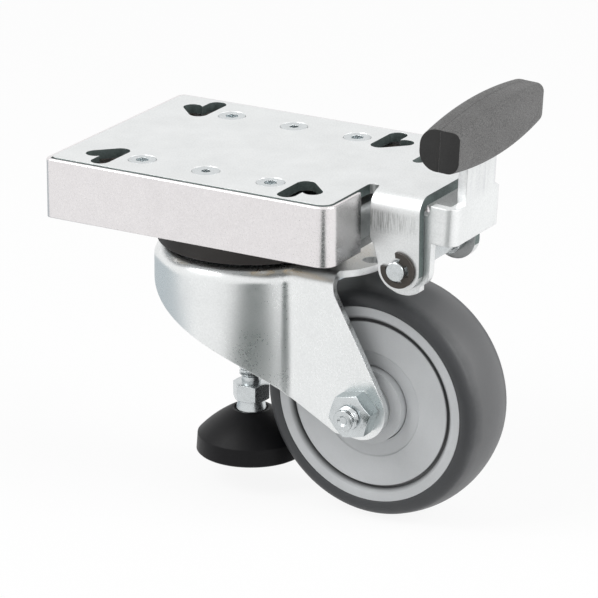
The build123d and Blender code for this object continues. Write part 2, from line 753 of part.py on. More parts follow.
with BuildPart() as axle_collars:
    with BuildSketch(wheel_radial):
        for side in (-1, 1):
            with Locations(((collar_reach + sleeve_outer / 2) / 2, side * (hub_half_width + fork_inner) / 2)):
                Rectangle(
                    collar_reach - sleeve_outer / 2 - 2 * slide_gap,
                    fork_inner - hub_half_width - 2 * slide_gap,
                )
    revolve(axis=axle_line)
save(axle_collars, "axle_collars")

# Wheel: tyre on a moulded rim with a cover disc in each side
shoulder_y = 12.45
crown_drop = tyre_crown * (shoulder_y / 15) ** 2
with BuildPart() as tyre:
    with BuildSketch(wheel_radial):
        with BuildLine():
            Polyline((rim_outer, -rim_half_width), (wheel_radius - 8, -tyre_half_width))
            ThreePointArc(
                (wheel_radius - 8, -tyre_half_width),
                (wheel_radius - crown_drop - 1.4, -tyre_half_width + 1.0),
                (wheel_radius - crown_drop, -shoulder_y),
            )
            ThreePointArc(
                (wheel_radius - crown_drop, -shoulder_y), (wheel_radius, 0),
                (wheel_radius - crown_drop, shoulder_y),
            )
            ThreePointArc(
                (wheel_radius - crown_drop, shoulder_y),
                (wheel_radius - crown_drop - 1.4, tyre_half_width - 1.0),
                (wheel_radius - 8, tyre_half_width),
            )
            Polyline(
                (wheel_radius - 8, tyre_half_width), (rim_outer, rim_half_width),
                (rim_outer, -rim_half_width),
            )
        make_face()
    revolve(axis=axle_line)
save(tyre, "tyre")

cover_back = rim_half_width - cover_recess - cover_thickness
with BuildPart() as wheel_rim:
    with BuildSketch(wheel_radial):
        with Locations(((rim_outer + rim_inner) / 2 - running_gap, 0)):
            Rectangle(rim_outer - rim_inner - 2 * running_gap, 2 * rim_half_width)
        with Locations(((rim_inner + rim_barrel_inner) / 2, 0)):
            Rectangle(rim_inner - rim_barrel_inner + 0.4, 2 * cover_back)
        with Locations(((rim_disc_inner + rim_disc_outer) / 2, 0)):
            Rectangle(rim_disc_outer - rim_disc_inner, rim_disc_thickness)
        with Locations(((hub_outer + sleeve_outer / 2 + bush_wall) / 2, 0)):
            Rectangle(hub_outer - sleeve_outer / 2 - bush_wall - 2 * press_gap, 2 * hub_half_width)
    revolve(axis=axle_line)
save(wheel_rim, "wheel_rim")

with BuildPart() as hub_bush:
    with BuildSketch(wheel_radial):
        with Locations((sleeve_outer / 2 + bush_wall / 2 + running_gap / 2, 0)):
            Rectangle(bush_wall - running_gap, 2 * hub_half_width)
    revolve(axis=axle_line)
save(hub_bush, "hub_bush")


def wheel_cover(side):
    """A cover disc: flat outer band, then a step down and a shallow dish to the hub."""
    face = side * (rim_half_width - cover_recess)
    back = side * cover_back
    dish = side * 1.2
    with BuildSketch(wheel_radial) as section:
        with BuildLine():
            Polyline(
                (cover_radius, back), (cover_radius, face - side * 0.4), (cover_radius - 0.4, face),
                (cover_step_radius, face), (cover_step_radius - 0.6, face - side * 0.5),
                (hub_outer + 0.3, face - dish), (hub_outer + 0.3, back - dish),
                (cover_step_radius - 0.6, back - side * 0.5), (cover_step_radius, back), close=True,
            )
        make_face()
    revolve(section.sketch, axis=axle_line)


with BuildPart() as cover_near:
    wheel_cover(-1)
save(cover_near, "cover_near")

with BuildPart() as cover_far:
    wheel_cover(1)
save(cover_far, "cover_far")

# Levelling foot: threaded stem with a hexagon and a ball, in a round pad
ball_low = -ball_joint_drop - ball_joint_radius
ball_shoulder = -ball_joint_drop + math.sqrt(ball_joint_radius**2 - (neck_radius + neck_flare) ** 2)
with BuildPart() as stem_hexagon:
    hexagon_blank(Plane.XZ, Axis.Z, -hex_top - hex_height, -hex_top, hex_flats)
    with BuildSketch(Plane.XY.offset(-hex_top)):
        RegularPolygon(hex_flats / 2, 6, major_radius=False, rotation=hex_turn)
    extrude(amount=-hex_height, mode=Mode.INTERSECT)

with BuildPart() as foot_stem:
    with BuildSketch(Plane.XZ):
        with BuildLine():
            Line((0, -stem_top), (stem_diameter / 2 - 1, -stem_top))
            Polyline(
                (stem_diameter / 2 - 1, -stem_top), (stem_diameter / 2, -stem_top - 1),
                (stem_diameter / 2, -stem_neck_top), (stem_neck / 2, -stem_neck_top - 0.8),
                (stem_neck / 2, -hex_top), (stem_neck / 2 + 1.2, -hex_top),
                (stem_neck / 2 + 1.2, -hex_top - hex_height),
                (neck_radius, -hex_top - hex_height),
                (neck_radius + neck_flare, ball_shoulder),
            )
            ThreePointArc(
                (neck_radius + neck_flare, ball_shoulder), (ball_joint_radius, -ball_joint_drop),
                (0, ball_low),
            )
            Line((0, ball_low), (0, -stem_top))
        make_face()
    revolve(axis=Axis.Z)
    add(stem_hexagon.part)
save(foot_stem, "foot_stem")

with BuildPart() as foot_pad:
    with BuildSketch(Plane.XZ):
        with BuildLine():
            rim_top = -pad_bottom + pad_rim_height
            Polyline(
                (0, -pad_bottom), (pad_radius - 0.6, -pad_bottom), (pad_radius, -pad_bottom + 0.6),
                (pad_radius - pad_draft, rim_top),
            )
            ThreePointArc(
                (pad_radius - pad_draft, rim_top),
                ((pad_radius + pad_crown_radius) / 2 + 0.2, (rim_top - pad_crown_drop) / 2 + 0.6),
                (pad_crown_radius, -pad_crown_drop),
            )
            Polyline((pad_crown_radius, -pad_crown_drop), (0, -pad_crown_drop), (0, -pad_bottom))
        make_face()
    revolve(axis=Axis.Z)
    with Locations((0, 0, -ball_joint_drop)):
        Sphere(ball_joint_radius + slide_gap, mode=Mode.SUBTRACT)
    with BuildSketch(Plane.XY.offset(-pad_crown_drop)):
        Circle(pad_mouth)
    extrude(amount=-0.8, mode=Mode.SUBTRACT)
save(foot_pad, "foot_pad")

# Lever: one sheet, a cheek on the pin bent into a web that narrows to a blade
lever_blank = 90.0
cheek_round = cheek_back * math.sqrt(0.5)
with BuildPart() as lever_plate:
    with BuildSketch(lever_plan.offset(-12)):
        with BuildLine():
            Polyline(
                (-12, -lever_cheek_outer), (web_reach, -lever_cheek_outer), (web_reach, web_far_side),
                (web_reach - lever_sheet, web_far_side), (web_reach - lever_sheet, -cheek_inner),
                (-12, -cheek_inner), close=True,
            )
        make_face()
    extrude(amount=lever_blank)
    vertical = lever_plate.edges().filter_by(lambda e: abs((e @ 0 - e @ 1).length - lever_blank) < 0.1)
    outer_edge = vertical.filter_by(lambda e: e.center().Y < -lever_cheek_outer + 0.1)
    fillet(outer_edge.filter_by(lambda e: e.center().X > pin_x + web_reach / 2), lever_bend)
    vertical = lever_plate.edges().filter_by(lambda e: abs((e @ 0 - e @ 1).length - lever_blank) < 0.1)
    inner_edge = vertical.filter_by(lambda e: abs(e.center().Y + cheek_inner) < 0.1)
    fillet(inner_edge.filter_by(lambda e: e.center().X > pin_x + web_reach / 2), lever_bend - lever_sheet)
    with BuildSketch(lever_frame.offset(lever_cheek_outer + 1)):
        with BuildLine():
            Polyline(
                (-cheek_back, 0), (-cheek_back, cheek_step_height), (-2, cheek_shoulder_height),
                (cheek_shoulder_reach, cheek_shoulder_height), (cheek_shoulder_reach + 1, web_top),
                (web_reach - lever_sheet - 2, web_top), (web_reach - lever_sheet - 2, lever_blank),
                (web_reach + 1, lever_blank), (web_reach + 1, web_bottom), (cheek_leg, web_bottom),
                (cheek_leg, -0.5),
            )
            ThreePointArc((cheek_leg, -0.5), (cheek_leg - 2.1, -5.5), (cheek_leg - 7, -cheek_back + 0.2))
            Line((cheek_leg - 7, -cheek_back + 0.2), (0, -cheek_back))
            ThreePointArc((0, -cheek_back), (-cheek_round, -cheek_round), (-cheek_back, 0))
        make_face()
    extrude(amount=-lever_cheek_outer - web_far_side - 2, mode=Mode.INTERSECT)
    with BuildSketch(lever_front.offset(-12)):
        with BuildLine():
            Polyline(
                (-lever_cheek_outer - 1, -12), (web_far_side + 1, -12),
                (web_far_side + 1, web_top_far - web_corner_drop),
                (web_far_side, web_top_far - web_corner_drop), (blade_half_width, web_top_far),
                (blade_half_width, blade_top), (-blade_near_side, blade_top),
                (-blade_near_side, web_top), (-lever_cheek_outer - 1, web_top), close=True,
            )
        make_face()
    extrude(amount=60, mode=Mode.INTERSECT)
    with BuildSketch(lever_frame.offset(lever_cheek_outer + 1)):
        Circle(pin_diameter / 2 + running_gap)
    extrude(amount=-lever_sheet - 2, mode=Mode.SUBTRACT)
save(lever_plate, "lever_plate")

# Eccentric hub on the cheek: the lift arm's eye rides on it
with BuildPart() as lever_hub:
    with BuildSketch(side_offset(-cheek_inner)):
        with Locations((hub_x, hub_z)):
            Circle(hub_radius)
        with Locations((pin_x, -pin_drop)):
            Circle(pin_diameter / 2 + running_gap, mode=Mode.SUBTRACT)
    extrude(amount=-(cheek_inner - arm_near_side + arm_thickness + slide_gap))
save(lever_hub, "lever_hub")


# Handle: two moulded halves that meet over the blade
handle_centre = (web_reach - lever_sheet / 2, handle_height_at)


def handle_half(side):
    """One half of the grip, lofted over three sections; side is -1 inner, +1 outer."""
    sections = []
    for at, width, height in (
        (-handle_length / 2, handle_end_width, handle_end_height),
        (0, handle_mid_width, handle_mid_height),
        (handle_length / 2, handle_end_width, handle_end_height),
    ):
        with BuildSketch(lever_frame.offset(-at - handle_shift)) as section:
            with BuildLine():
                middle = handle_centre[1] + at * math.tan(math.radians(handle_rise))
                low = middle - height / 2
                high = middle + height / 2
                reach = handle_centre[0] + side * width / 2
                corner_low = handle_corner_low if side > 0 else width / 2 - 1.2
                corner_high = handle_corner_high if side > 0 else width / 2 - 1.2
                bulge_low = corner_low * (1 - math.sqrt(0.5))
                bulge_high = corner_high * (1 - math.sqrt(0.5))
                Line((handle_centre[0], high), (handle_centre[0], low))
                Line((handle_centre[0], low), (reach - side * corner_low, low))
                ThreePointArc(
                    (reach - side * corner_low, low), (reach - side * bulge_low, low + bulge_low),
                    (reach, low + corner_low),
                )
                Line((reach, low + corner_low), (reach, high - corner_high))
                ThreePointArc(
                    (reach, high - corner_high), (reach - side * bulge_high, high - bulge_high),
                    (reach - side * corner_high, high),
                )
                Line((reach - side * corner_high, high), (handle_centre[0], high))
            make_face()
        sections.append(section.sketch)
    loft(sections=sections)


slot_clear = 0.1
for side, name in ((-1, "handle_inner"), (1, "handle_outer")):
    with BuildPart() as handle_piece:
        handle_half(side)
        with BuildSketch(lever_front.offset(handle_centre[0] - lever_sheet / 2 - slot_clear)):
            with Locations((0, blade_top - 25 + slot_clear)):
                Rectangle(2 * blade_near_side + 2 * slot_clear, 50)
        extrude(amount=lever_sheet + 2 * slot_clear, mode=Mode.SUBTRACT)
    save(handle_piece, name)
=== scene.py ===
"""Levelling castor: finishes, small detailed pieces and a studio, on the fixed CAD frame."""
import math

import bmesh
import bpy
from bpy.props import FloatProperty, FloatVectorProperty, PointerProperty
from mathutils import Matrix, Vector


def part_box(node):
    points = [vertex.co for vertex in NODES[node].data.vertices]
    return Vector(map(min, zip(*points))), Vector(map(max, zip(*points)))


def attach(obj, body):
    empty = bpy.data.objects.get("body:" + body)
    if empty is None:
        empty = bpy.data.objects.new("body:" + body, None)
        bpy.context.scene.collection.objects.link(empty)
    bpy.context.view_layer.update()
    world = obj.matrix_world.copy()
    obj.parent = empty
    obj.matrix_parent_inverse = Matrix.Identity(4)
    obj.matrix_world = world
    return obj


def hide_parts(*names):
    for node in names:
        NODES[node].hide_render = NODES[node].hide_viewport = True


bl_info = {
    "name": "Levelling Castor Finish",
    "version": (1, 0, 0),
    "blender": (4, 5, 0),
    "location": "View3D > Sidebar > Castor",
    "description": "Dresses a levelling castor with its finishes, threads, grip and studio",
    "category": "Object",
}

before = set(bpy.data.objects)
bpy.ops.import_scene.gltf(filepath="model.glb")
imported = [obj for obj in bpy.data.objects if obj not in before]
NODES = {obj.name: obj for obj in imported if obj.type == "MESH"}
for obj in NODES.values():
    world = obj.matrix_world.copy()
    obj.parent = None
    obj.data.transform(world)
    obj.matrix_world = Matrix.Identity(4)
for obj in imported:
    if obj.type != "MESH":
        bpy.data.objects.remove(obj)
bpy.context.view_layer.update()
MM = 0.001

WHEEL_LOW, WHEEL_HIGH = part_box("tyre")
AXLE_X = (WHEEL_LOW.x + WHEEL_HIGH.x) / 2
AXLE_Z = (WHEEL_LOW.z + WHEEL_HIGH.z) / 2
FORK_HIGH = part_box("fork")[1]
FORK_SHEET = 3.0 * MM
FORK_WASTE_LENGTH = 10.2 * MM
FORK_WASTE_BACK = 7 * MM
STEM_NECK_RISE = 33.7 * MM
ROD_RADIUS = 5 * MM
EAR_SIDE = 25.4 * MM
EAR_START_X = 65.5 * MM
COVER_EDGE = 34.9 * MM
RIM_BORE = 36.2 * MM
MERGE = 0.01 * MM


# ---------------------------------------------------------------- settings

class CastorSizes(bpy.types.PropertyGroup):
    """Sizes of the fine detail that the scene adds to the solids."""

    thread_pitch: FloatProperty(
        name="Thread pitch", description="Rise of one turn of the axle and stem threads",
        default=1.5 * MM, min=0.5 * MM, max=3 * MM, unit="LENGTH", precision=5)
    thread_depth: FloatProperty(
        name="Thread depth", description="Depth of the thread's valleys",
        default=0.8 * MM, min=0.2 * MM, max=2 * MM, unit="LENGTH", precision=5)
    edge_rounding: FloatProperty(
        name="Edge rounding", description="Radius that sheared and pressed edges are shaded with",
        default=0.35 * MM, min=0.0, max=2 * MM, unit="LENGTH", precision=5)
    rim_lip_rounding: FloatProperty(
        name="Rim lip rounding", description="Size of the hollow inside the moulded rim's lip",
        default=2.6 * MM, min=0.2 * MM, max=4 * MM, unit="LENGTH", precision=5)
    grip_edge_rounding: FloatProperty(
        name="Grip edge rounding", description="Radius along the parting line and round the grip's ends",
        default=0.3 * MM, min=0.05 * MM, max=1 * MM, unit="LENGTH", precision=5)
    skirt_edge_rounding: FloatProperty(
        name="Skirt edge rounding", description="Radius along the skirt's top edges",
        default=0.8 * MM, min=0.1 * MM, max=0.95 * MM, unit="LENGTH", precision=5)


class CastorColours(bpy.types.PropertyGroup):
    """Colours of the castor's finishes."""

    zinc: FloatVectorProperty(
        name="Zinc", description="Bright zinc plating on the pressed steel",
        default=(0.85, 0.865, 0.865), min=0, max=1, size=3, subtype="COLOR")
    skirt: FloatVectorProperty(
        name="Skirt", description="Silver paint of the housing's skirt",
        default=(0.79, 0.765, 0.77), min=0, max=1, size=3, subtype="COLOR")
    tyre: FloatVectorProperty(
        name="Tyre", description="Grey elastic tyre",
        default=(0.038, 0.04, 0.043), min=0, max=1, size=3, subtype="COLOR")
    rim: FloatVectorProperty(
        name="Rim", description="Grey moulded rim and covers",
        default=(0.53, 0.545, 0.555), min=0, max=1, size=3, subtype="COLOR")
    grip: FloatVectorProperty(
        name="Grip", description="Dark moulded grip",
        default=(0.115, 0.114, 0.113), min=0, max=1, size=3, subtype="COLOR")


# ---------------------------------------------------------------- node groups

def new_group(name, inputs, outputs):
    """An empty shader group with float inputs (name, default) and typed outputs."""
    tree = bpy.data.node_groups.new(name, "ShaderNodeTree")
    for label, value in inputs:
        socket = tree.interface.new_socket(name=label, in_out="INPUT", socket_type="NodeSocketFloat")
        socket.default_value = value
    for label, kind in outputs:
        tree.interface.new_socket(name=label, in_out="OUTPUT", socket_type=kind)
    return tree, tree.nodes.new("NodeGroupInput"), tree.nodes.new("NodeGroupOutput")


def maths(tree, operation, first, second=None, clamp=False):
    """A Math node; each operand is a socket or a number."""
    node = tree.nodes.new("ShaderNodeMath")
    node.operation = operation
    node.use_clamp = clamp
    for index, operand in enumerate((first, second)):
        if operand is None:
            continue
        if isinstance(operand, (int, float)):
            node.inputs[index].default_value = operand
        else:
            tree.links.new(operand, node.inputs[index])
    return node.outputs[0]


def noise(tree, scale, detail=3.0, rough=0.55, vector=None):
    """A noise texture on the object's own coordinates; scale is a number or a socket."""
    node = tree.nodes.new("ShaderNodeTexNoise")
    node.inputs["Detail"].default_value = detail
    node.inputs["Roughness"].default_value = rough
    if isinstance(scale, (int, float)):
        node.inputs["Scale"].default_value = scale
    else:
        tree.links.new(scale, node.inputs["Scale"])
    if vector is None:
        vector = tree.nodes.new("ShaderNodeTexCoord").outputs["Object"]
    tree.links.new(vector, node.inputs["Vector"])
    return node.outputs["Fac"]


def spread(tree, value, low, high, to_low=0.0, to_high=1.0):
    """A clamped Map Range from low..high to to_low..to_high."""
    node = tree.nodes.new("ShaderNodeMapRange")
    tree.links.new(value, node.inputs["Value"])
    for label, number in (("From Min", low), ("From Max", high), ("To Min", to_low), ("To Max", to_high)):
        node.inputs[label].default_value = number
    return node.outputs["Result"]


def make_speckle_group():
    """Mottled plating or paint: broad clouds with fine speckle over them."""
    tree, given, result = new_group(
        "Speckle", (("Fine Scale", 1400.0), ("Broad Scale", 90.0), ("Fine Share", 0.6)),
        (("Mask", "NodeSocketFloat"), ("Height", "NodeSocketFloat")))
    fine = spread(tree, noise(tree, given.outputs["Fine Scale"], 2.0, 0.6), 0.32, 0.68)
    broad = spread(tree, noise(tree, given.outputs["Broad Scale"], 4.0, 0.62), 0.34, 0.68)
    share = given.outputs["Fine Share"]
    rest = maths(tree, "SUBTRACT", 1.0, share)
    mask = maths(tree, "ADD", maths(tree, "MULTIPLY", fine, share), maths(tree, "MULTIPLY", broad, rest))
    tree.links.new(mask, result.inputs["Mask"])
    tree.links.new(fine, result.inputs["Height"])
    return tree


def make_edge_group():
    """Rounded shading along sharp edges, and a mask of those edges for wear."""
    tree, given, result = new_group(
        "Rounded Edges", (("Radius", 0.00035), ("Wear", 0.5)),
        (("Mask", "NodeSocketFloat"), ("Normal", "NodeSocketVector")))
    bevel = tree.nodes.new("ShaderNodeBevel")
    bevel.samples = 4
    tree.links.new(given.outputs["Radius"], bevel.inputs["Radius"])
    facing = tree.nodes.new("ShaderNodeNewGeometry")
    agree = tree.nodes.new("ShaderNodeVectorMath")
    agree.operation = "DOT_PRODUCT"
    tree.links.new(bevel.outputs["Normal"], agree.inputs[0])
    tree.links.new(facing.outputs["Normal"], agree.inputs[1])
    turned_away = maths(tree, "SUBTRACT", 1.0, agree.outputs["Value"])
    patchy = spread(tree, noise(tree, 260.0, 4.0, 0.7), 0.35, 0.65, 0.4, 1.0)
    mask = maths(tree, "MULTIPLY", maths(tree, "MULTIPLY", turned_away, 8.0, clamp=True), patchy)
    tree.links.new(maths(tree, "MULTIPLY", mask, given.outputs["Wear"]), result.inputs["Mask"])
    tree.links.new(bevel.outputs["Normal"], result.inputs["Normal"])
    return tree


def make_grain_group():
    """Fine moulded texture of plastic and rubber, with soft scuffed clouds."""
    tree, given, result = new_group(
        "Moulded Grain", (("Grain Scale", 2200.0), ("Cloud Scale", 60.0), ("Cloud Share", 0.65)),
        (("Mask", "NodeSocketFloat"), ("Height", "NodeSocketFloat")))
    grain = spread(tree, noise(tree, given.outputs["Grain Scale"], 2.0, 0.5), 0.3, 0.7)
    cloud = spread(tree, noise(tree, given.outputs["Cloud Scale"], 5.0, 0.6), 0.35, 0.7)
    share = given.outputs["Cloud Share"]
    fine = maths(tree, "MULTIPLY", grain, maths(tree, "SUBTRACT", 1.0, share))
    both = maths(tree, "ADD", fine, maths(tree, "MULTIPLY", cloud, share))
    tree.links.new(both, result.inputs["Mask"])
    tree.links.new(grain, result.inputs["Height"])
    return tree


GROUPS = {}


def group_node(tree, label, **values):
    """A shared group placed in a material, with its own input values."""
    makers = {
        "Speckle": make_speckle_group,
        "Rounded Edges": make_edge_group,
        "Moulded Grain": make_grain_group,
    }
    if label not in GROUPS:
        GROUPS[label] = makers[label]()
    node = tree.nodes.new("ShaderNodeGroup")
    node.node_tree = GROUPS[label]
    for key, value in values.items():
        node.inputs[key.replace("_", " ")].default_value = value
    return node


def two_tone(tree, mask, dark, light):
    """A colour that varies from dark to light with a mask."""
    mix = tree.nodes.new("ShaderNodeMix")
    mix.data_type = "RGBA"
    tree.links.new(mask, mix.inputs["Factor"])
    mix.inputs[6].default_value = (*dark, 1)
    mix.inputs[7].default_value = (*light, 1)
    return mix.outputs[2]


def bump(tree, height, distance, normal=None, strength=1.0):
    """A Bump node over an optional base normal."""
    node = tree.nodes.new("ShaderNodeBump")
    node.inputs["Strength"].default_value = strength
    node.inputs["Distance"].default_value = distance
    tree.links.new(height, node.inputs["Height"])
    if normal is not None:
        tree.links.new(normal, node.inputs["Normal"])
    return node.outputs["Normal"]


def shaded(colour, amount):
    """The colour times an amount, kept under one."""
    return tuple(min(1.0, channel * amount) for channel in colour)


def blank_material(name):
    """A material with a Principled shader, and the two of them."""
    material = bpy.data.materials.new(name)
    material.use_nodes = True
    return material, material.node_tree, material.node_tree.nodes["Principled BSDF"]


def metal_finish(name, colour, metallic=1.0, roughness=(0.3, 0.45), contrast=0.1, fine=1400.0, broad=90.0,
                 share=0.6, grain=0.00001, radius=0.00035, wear=0.5, worn=None):
    """Plated or bare metal: speckle in colour and roughness, rounded and lighter edges."""
    material, tree, shader = blank_material(name)
    speckle = group_node(tree, "Speckle", Fine_Scale=fine, Broad_Scale=broad, Fine_Share=share)
    edges = group_node(tree, "Rounded Edges", Radius=radius, Wear=wear)
    base = two_tone(tree, speckle.outputs["Mask"], shaded(colour, 1 - contrast), shaded(colour, 1 + contrast))
    tree.links.new(base, shader.inputs["Base Color"])
    overlay(material, edges.outputs["Mask"], worn or shaded(colour, 1.25))
    shader.inputs["Metallic"].default_value = metallic
    rough = spread(tree, speckle.outputs["Mask"], 0.0, 1.0, roughness[1], roughness[0])
    tree.links.new(rough, shader.inputs["Roughness"])
    rough_normal = bump(tree, speckle.outputs["Height"], grain, edges.outputs["Normal"])
    tree.links.new(rough_normal, shader.inputs["Normal"])
    return material


def plastic_finish(name, colour, roughness=(0.42, 0.58), contrast=0.15, grain=0.00002, scale=2200.0,
                   cloud=60.0, share=0.65, radius=0.0003, specular=0.5):
    """Moulded plastic or rubber: fine grain, soft clouds and rounded edges."""
    material, tree, shader = blank_material(name)
    moulded = group_node(tree, "Moulded Grain", Grain_Scale=scale, Cloud_Scale=cloud, Cloud_Share=share)
    edges = group_node(tree, "Rounded Edges", Radius=radius, Wear=0.35)
    base = two_tone(tree, moulded.outputs["Mask"], shaded(colour, 1 - contrast), shaded(colour, 1 + contrast))
    tree.links.new(base, shader.inputs["Base Color"])
    overlay(material, edges.outputs["Mask"], shaded(colour, 1.6))
    shader.inputs["Specular IOR Level"].default_value = specular
    tree.links.new(spread(tree, moulded.outputs["Mask"], 0.0, 1.0, roughness[1], roughness[0]),
                   shader.inputs["Roughness"])
    rough_normal = bump(tree, moulded.outputs["Height"], grain, edges.outputs["Normal"])
    tree.links.new(rough_normal, shader.inputs["Normal"])
    return material


def colours():
    return bpy.context.scene.castor_colours


def sizes():
    return bpy.context.scene.castor_sizes


def dress(material, *names):
    """Gives CAD nodes their finish."""
    for name in names:
        mesh = NODES[name].data
        mesh.materials.clear()
        mesh.materials.append(material)


# ---------------------------------------------------------------- modelling helpers

def only(piece):
    """Selects one piece alone and makes it active."""
    bpy.ops.object.select_all(action="DESELECT")
    piece.select_set(True)
    bpy.context.view_layer.objects.active = piece


def copied(node, name):
    """A merged copy of a CAD node's mesh, with its flat faces joined again."""
    piece = bpy.data.objects.new(name, NODES[node].data.copy())
    bpy.context.scene.collection.objects.link(piece)
    only(piece)
    if piece.data.has_custom_normals:
        bpy.ops.mesh.customdata_custom_splitnormals_clear()
    bpy.ops.object.mode_set(mode="EDIT")
    bpy.ops.mesh.select_all(action="SELECT")
    bpy.ops.mesh.remove_doubles(threshold=MERGE)
    bpy.ops.mesh.dissolve_limited(angle_limit=math.radians(0.4))
    bpy.ops.object.mode_set(mode="OBJECT")
    return piece


def pick_edges(piece, test):
    """Selects in edit mode the edges that pass a test."""
    bpy.ops.object.mode_set(mode="EDIT")
    bpy.ops.mesh.select_mode(type="EDGE")
    bpy.ops.mesh.select_all(action="DESELECT")
    mesh = bmesh.from_edit_mesh(piece.data)
    for edge in mesh.edges:
        if test(edge):
            edge.select_set(True)
    bmesh.update_edit_mesh(piece.data)


def pick_faces(piece, test):
    """Selects in edit mode the faces that pass a test."""
    bpy.ops.object.mode_set(mode="EDIT")
    bpy.ops.mesh.select_mode(type="FACE")
    bpy.ops.mesh.select_all(action="DESELECT")
    mesh = bmesh.from_edit_mesh(piece.data)
    for face in mesh.faces:
        if test(face):
            face.select_set(True)
    bmesh.update_edit_mesh(piece.data)


def sharp(edge, angle=35):
    """Whether two faces meet at an edge at more than an angle in degrees."""
    return len(edge.link_faces) == 2 and edge.calc_face_angle() > math.radians(angle)


def seated(piece, body, slot, material, *nodes, angle=32):
    """Smooths a finished piece, dresses it and seats it on its body in place of its nodes."""
    only(piece)
    bpy.ops.object.shade_smooth_by_angle(angle=math.radians(angle))
    piece.data.materials.clear()
    piece.data.materials.append(material)
    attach(piece, body)
    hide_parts(*nodes)
    return piece


def threaded_rod(name, radius, length):
    """A threaded rod along +Z from the origin, with chamfered ends."""
    pitch, depth = sizes().thread_pitch, sizes().thread_depth
    bpy.ops.object.select_all(action="DESELECT")
    bpy.ops.mesh.primitive_circle_add(vertices=4, radius=1, location=(radius - depth, 0, 0),
                                      rotation=(math.pi / 2, 0, 0))
    ridge = bpy.context.active_object
    ridge.scale = (depth, pitch * 0.48, 1)
    bpy.ops.object.transform_apply(location=True, rotation=True, scale=True)
    turns = max(1, int((length - 1.2 * pitch) / pitch))
    screw = ridge.modifiers.new("turns", "SCREW")
    screw.axis = "Z"
    screw.screw_offset = pitch
    screw.iterations = turns
    screw.steps = screw.render_steps = 28
    bpy.ops.object.modifier_apply(modifier="turns")
    bpy.ops.object.mode_set(mode="EDIT")
    bpy.ops.mesh.select_all(action="SELECT")
    bpy.ops.mesh.remove_doubles(threshold=0.001 * MM)
    bpy.ops.mesh.fill_holes(sides=4)
    bpy.ops.mesh.select_all(action="SELECT")
    bpy.ops.mesh.normals_make_consistent(inside=False)
    bpy.ops.transform.translate(value=(0, 0, (length - turns * pitch) / 2))
    bpy.ops.object.mode_set(mode="OBJECT")
    bpy.ops.object.select_all(action="DESELECT")
    bpy.ops.mesh.primitive_cylinder_add(vertices=40, radius=radius - 0.86 * depth, depth=length,
                                        location=(0, 0, length / 2))
    core = bpy.context.active_object
    bpy.ops.object.transform_apply(location=True, rotation=True, scale=True)
    pick_edges(core, lambda edge: all(min(v.co.z, length - v.co.z) < 0.01 * MM for v in edge.verts))
    bpy.ops.mesh.bevel(offset=0.5 * MM, segments=2, affect="EDGES")
    pick_faces(core, lambda face: abs(face.normal.z) > 0.99 and face.calc_center_median().z < 0.01 * MM)
    bpy.ops.mesh.inset(thickness=1.5 * MM)
    bpy.ops.mesh.inset(thickness=0.8 * MM, depth=-0.7 * MM)
    bpy.ops.object.mode_set(mode="OBJECT")
    only(core)
    ridge.select_set(True)
    bpy.ops.object.join()
    core.name = name
    return core


def refinish(piece, material, test):
    """Gives the faces of a finished piece that pass a test a second finish."""
    piece.data.materials.append(material)
    pick_faces(piece, test)
    piece.active_material_index = len(piece.data.materials) - 1
    bpy.ops.object.material_slot_assign()
    bpy.ops.object.mode_set(mode="OBJECT")


def overlay(material, mask, colour):
    """Lays a colour over a finish's own colour where a mask says."""
    tree = material.node_tree
    shader = tree.nodes["Principled BSDF"]
    under = shader.inputs["Base Color"].links[0].from_socket
    over = tree.nodes.new("ShaderNodeMix")
    over.data_type = "RGBA"
    tree.links.new(mask, over.inputs["Factor"])
    tree.links.new(under, over.inputs[6])
    over.inputs[7].default_value = (*colour, 1)
    tree.links.new(over.outputs[2], shader.inputs["Base Color"])


def own_place(tree):
    """The X, Y and Z of the object's own coordinates."""
    split = tree.nodes.new("ShaderNodeSeparateXYZ")
    tree.links.new(tree.nodes.new("ShaderNodeTexCoord").outputs["Object"], split.inputs[0])
    return split.outputs["X"], split.outputs["Y"], split.outputs["Z"]


def streaks(tree, across, along):
    """Noise drawn out into upright streaks."""
    mapping = tree.nodes.new("ShaderNodeMapping")
    mapping.inputs["Scale"].default_value = (across, across, along)
    tree.links.new(tree.nodes.new("ShaderNodeTexCoord").outputs["Object"], mapping.inputs["Vector"])
    return noise(tree, 1.0, 3.0, 0.6, mapping.outputs["Vector"])


def turn_into_place(piece, turn, place):
    """Turns a finished piece about the origin, moves it and leaves its origin at the world's."""
    piece.matrix_world = Matrix.Translation(Vector(place)) @ turn
    only(piece)
    bpy.ops.object.transform_apply(location=True, rotation=True, scale=True)


def cut_off(piece, point, normal):
    """Cuts away all that lies beyond a plane and closes the cut."""
    only(piece)
    bpy.ops.object.mode_set(mode="EDIT")
    bpy.ops.mesh.select_all(action="SELECT")
    bpy.ops.mesh.bisect(plane_co=point, plane_no=normal, use_fill=True, clear_outer=True)
    bpy.ops.object.mode_set(mode="OBJECT")


# ---------------------------------------------------------------- operators

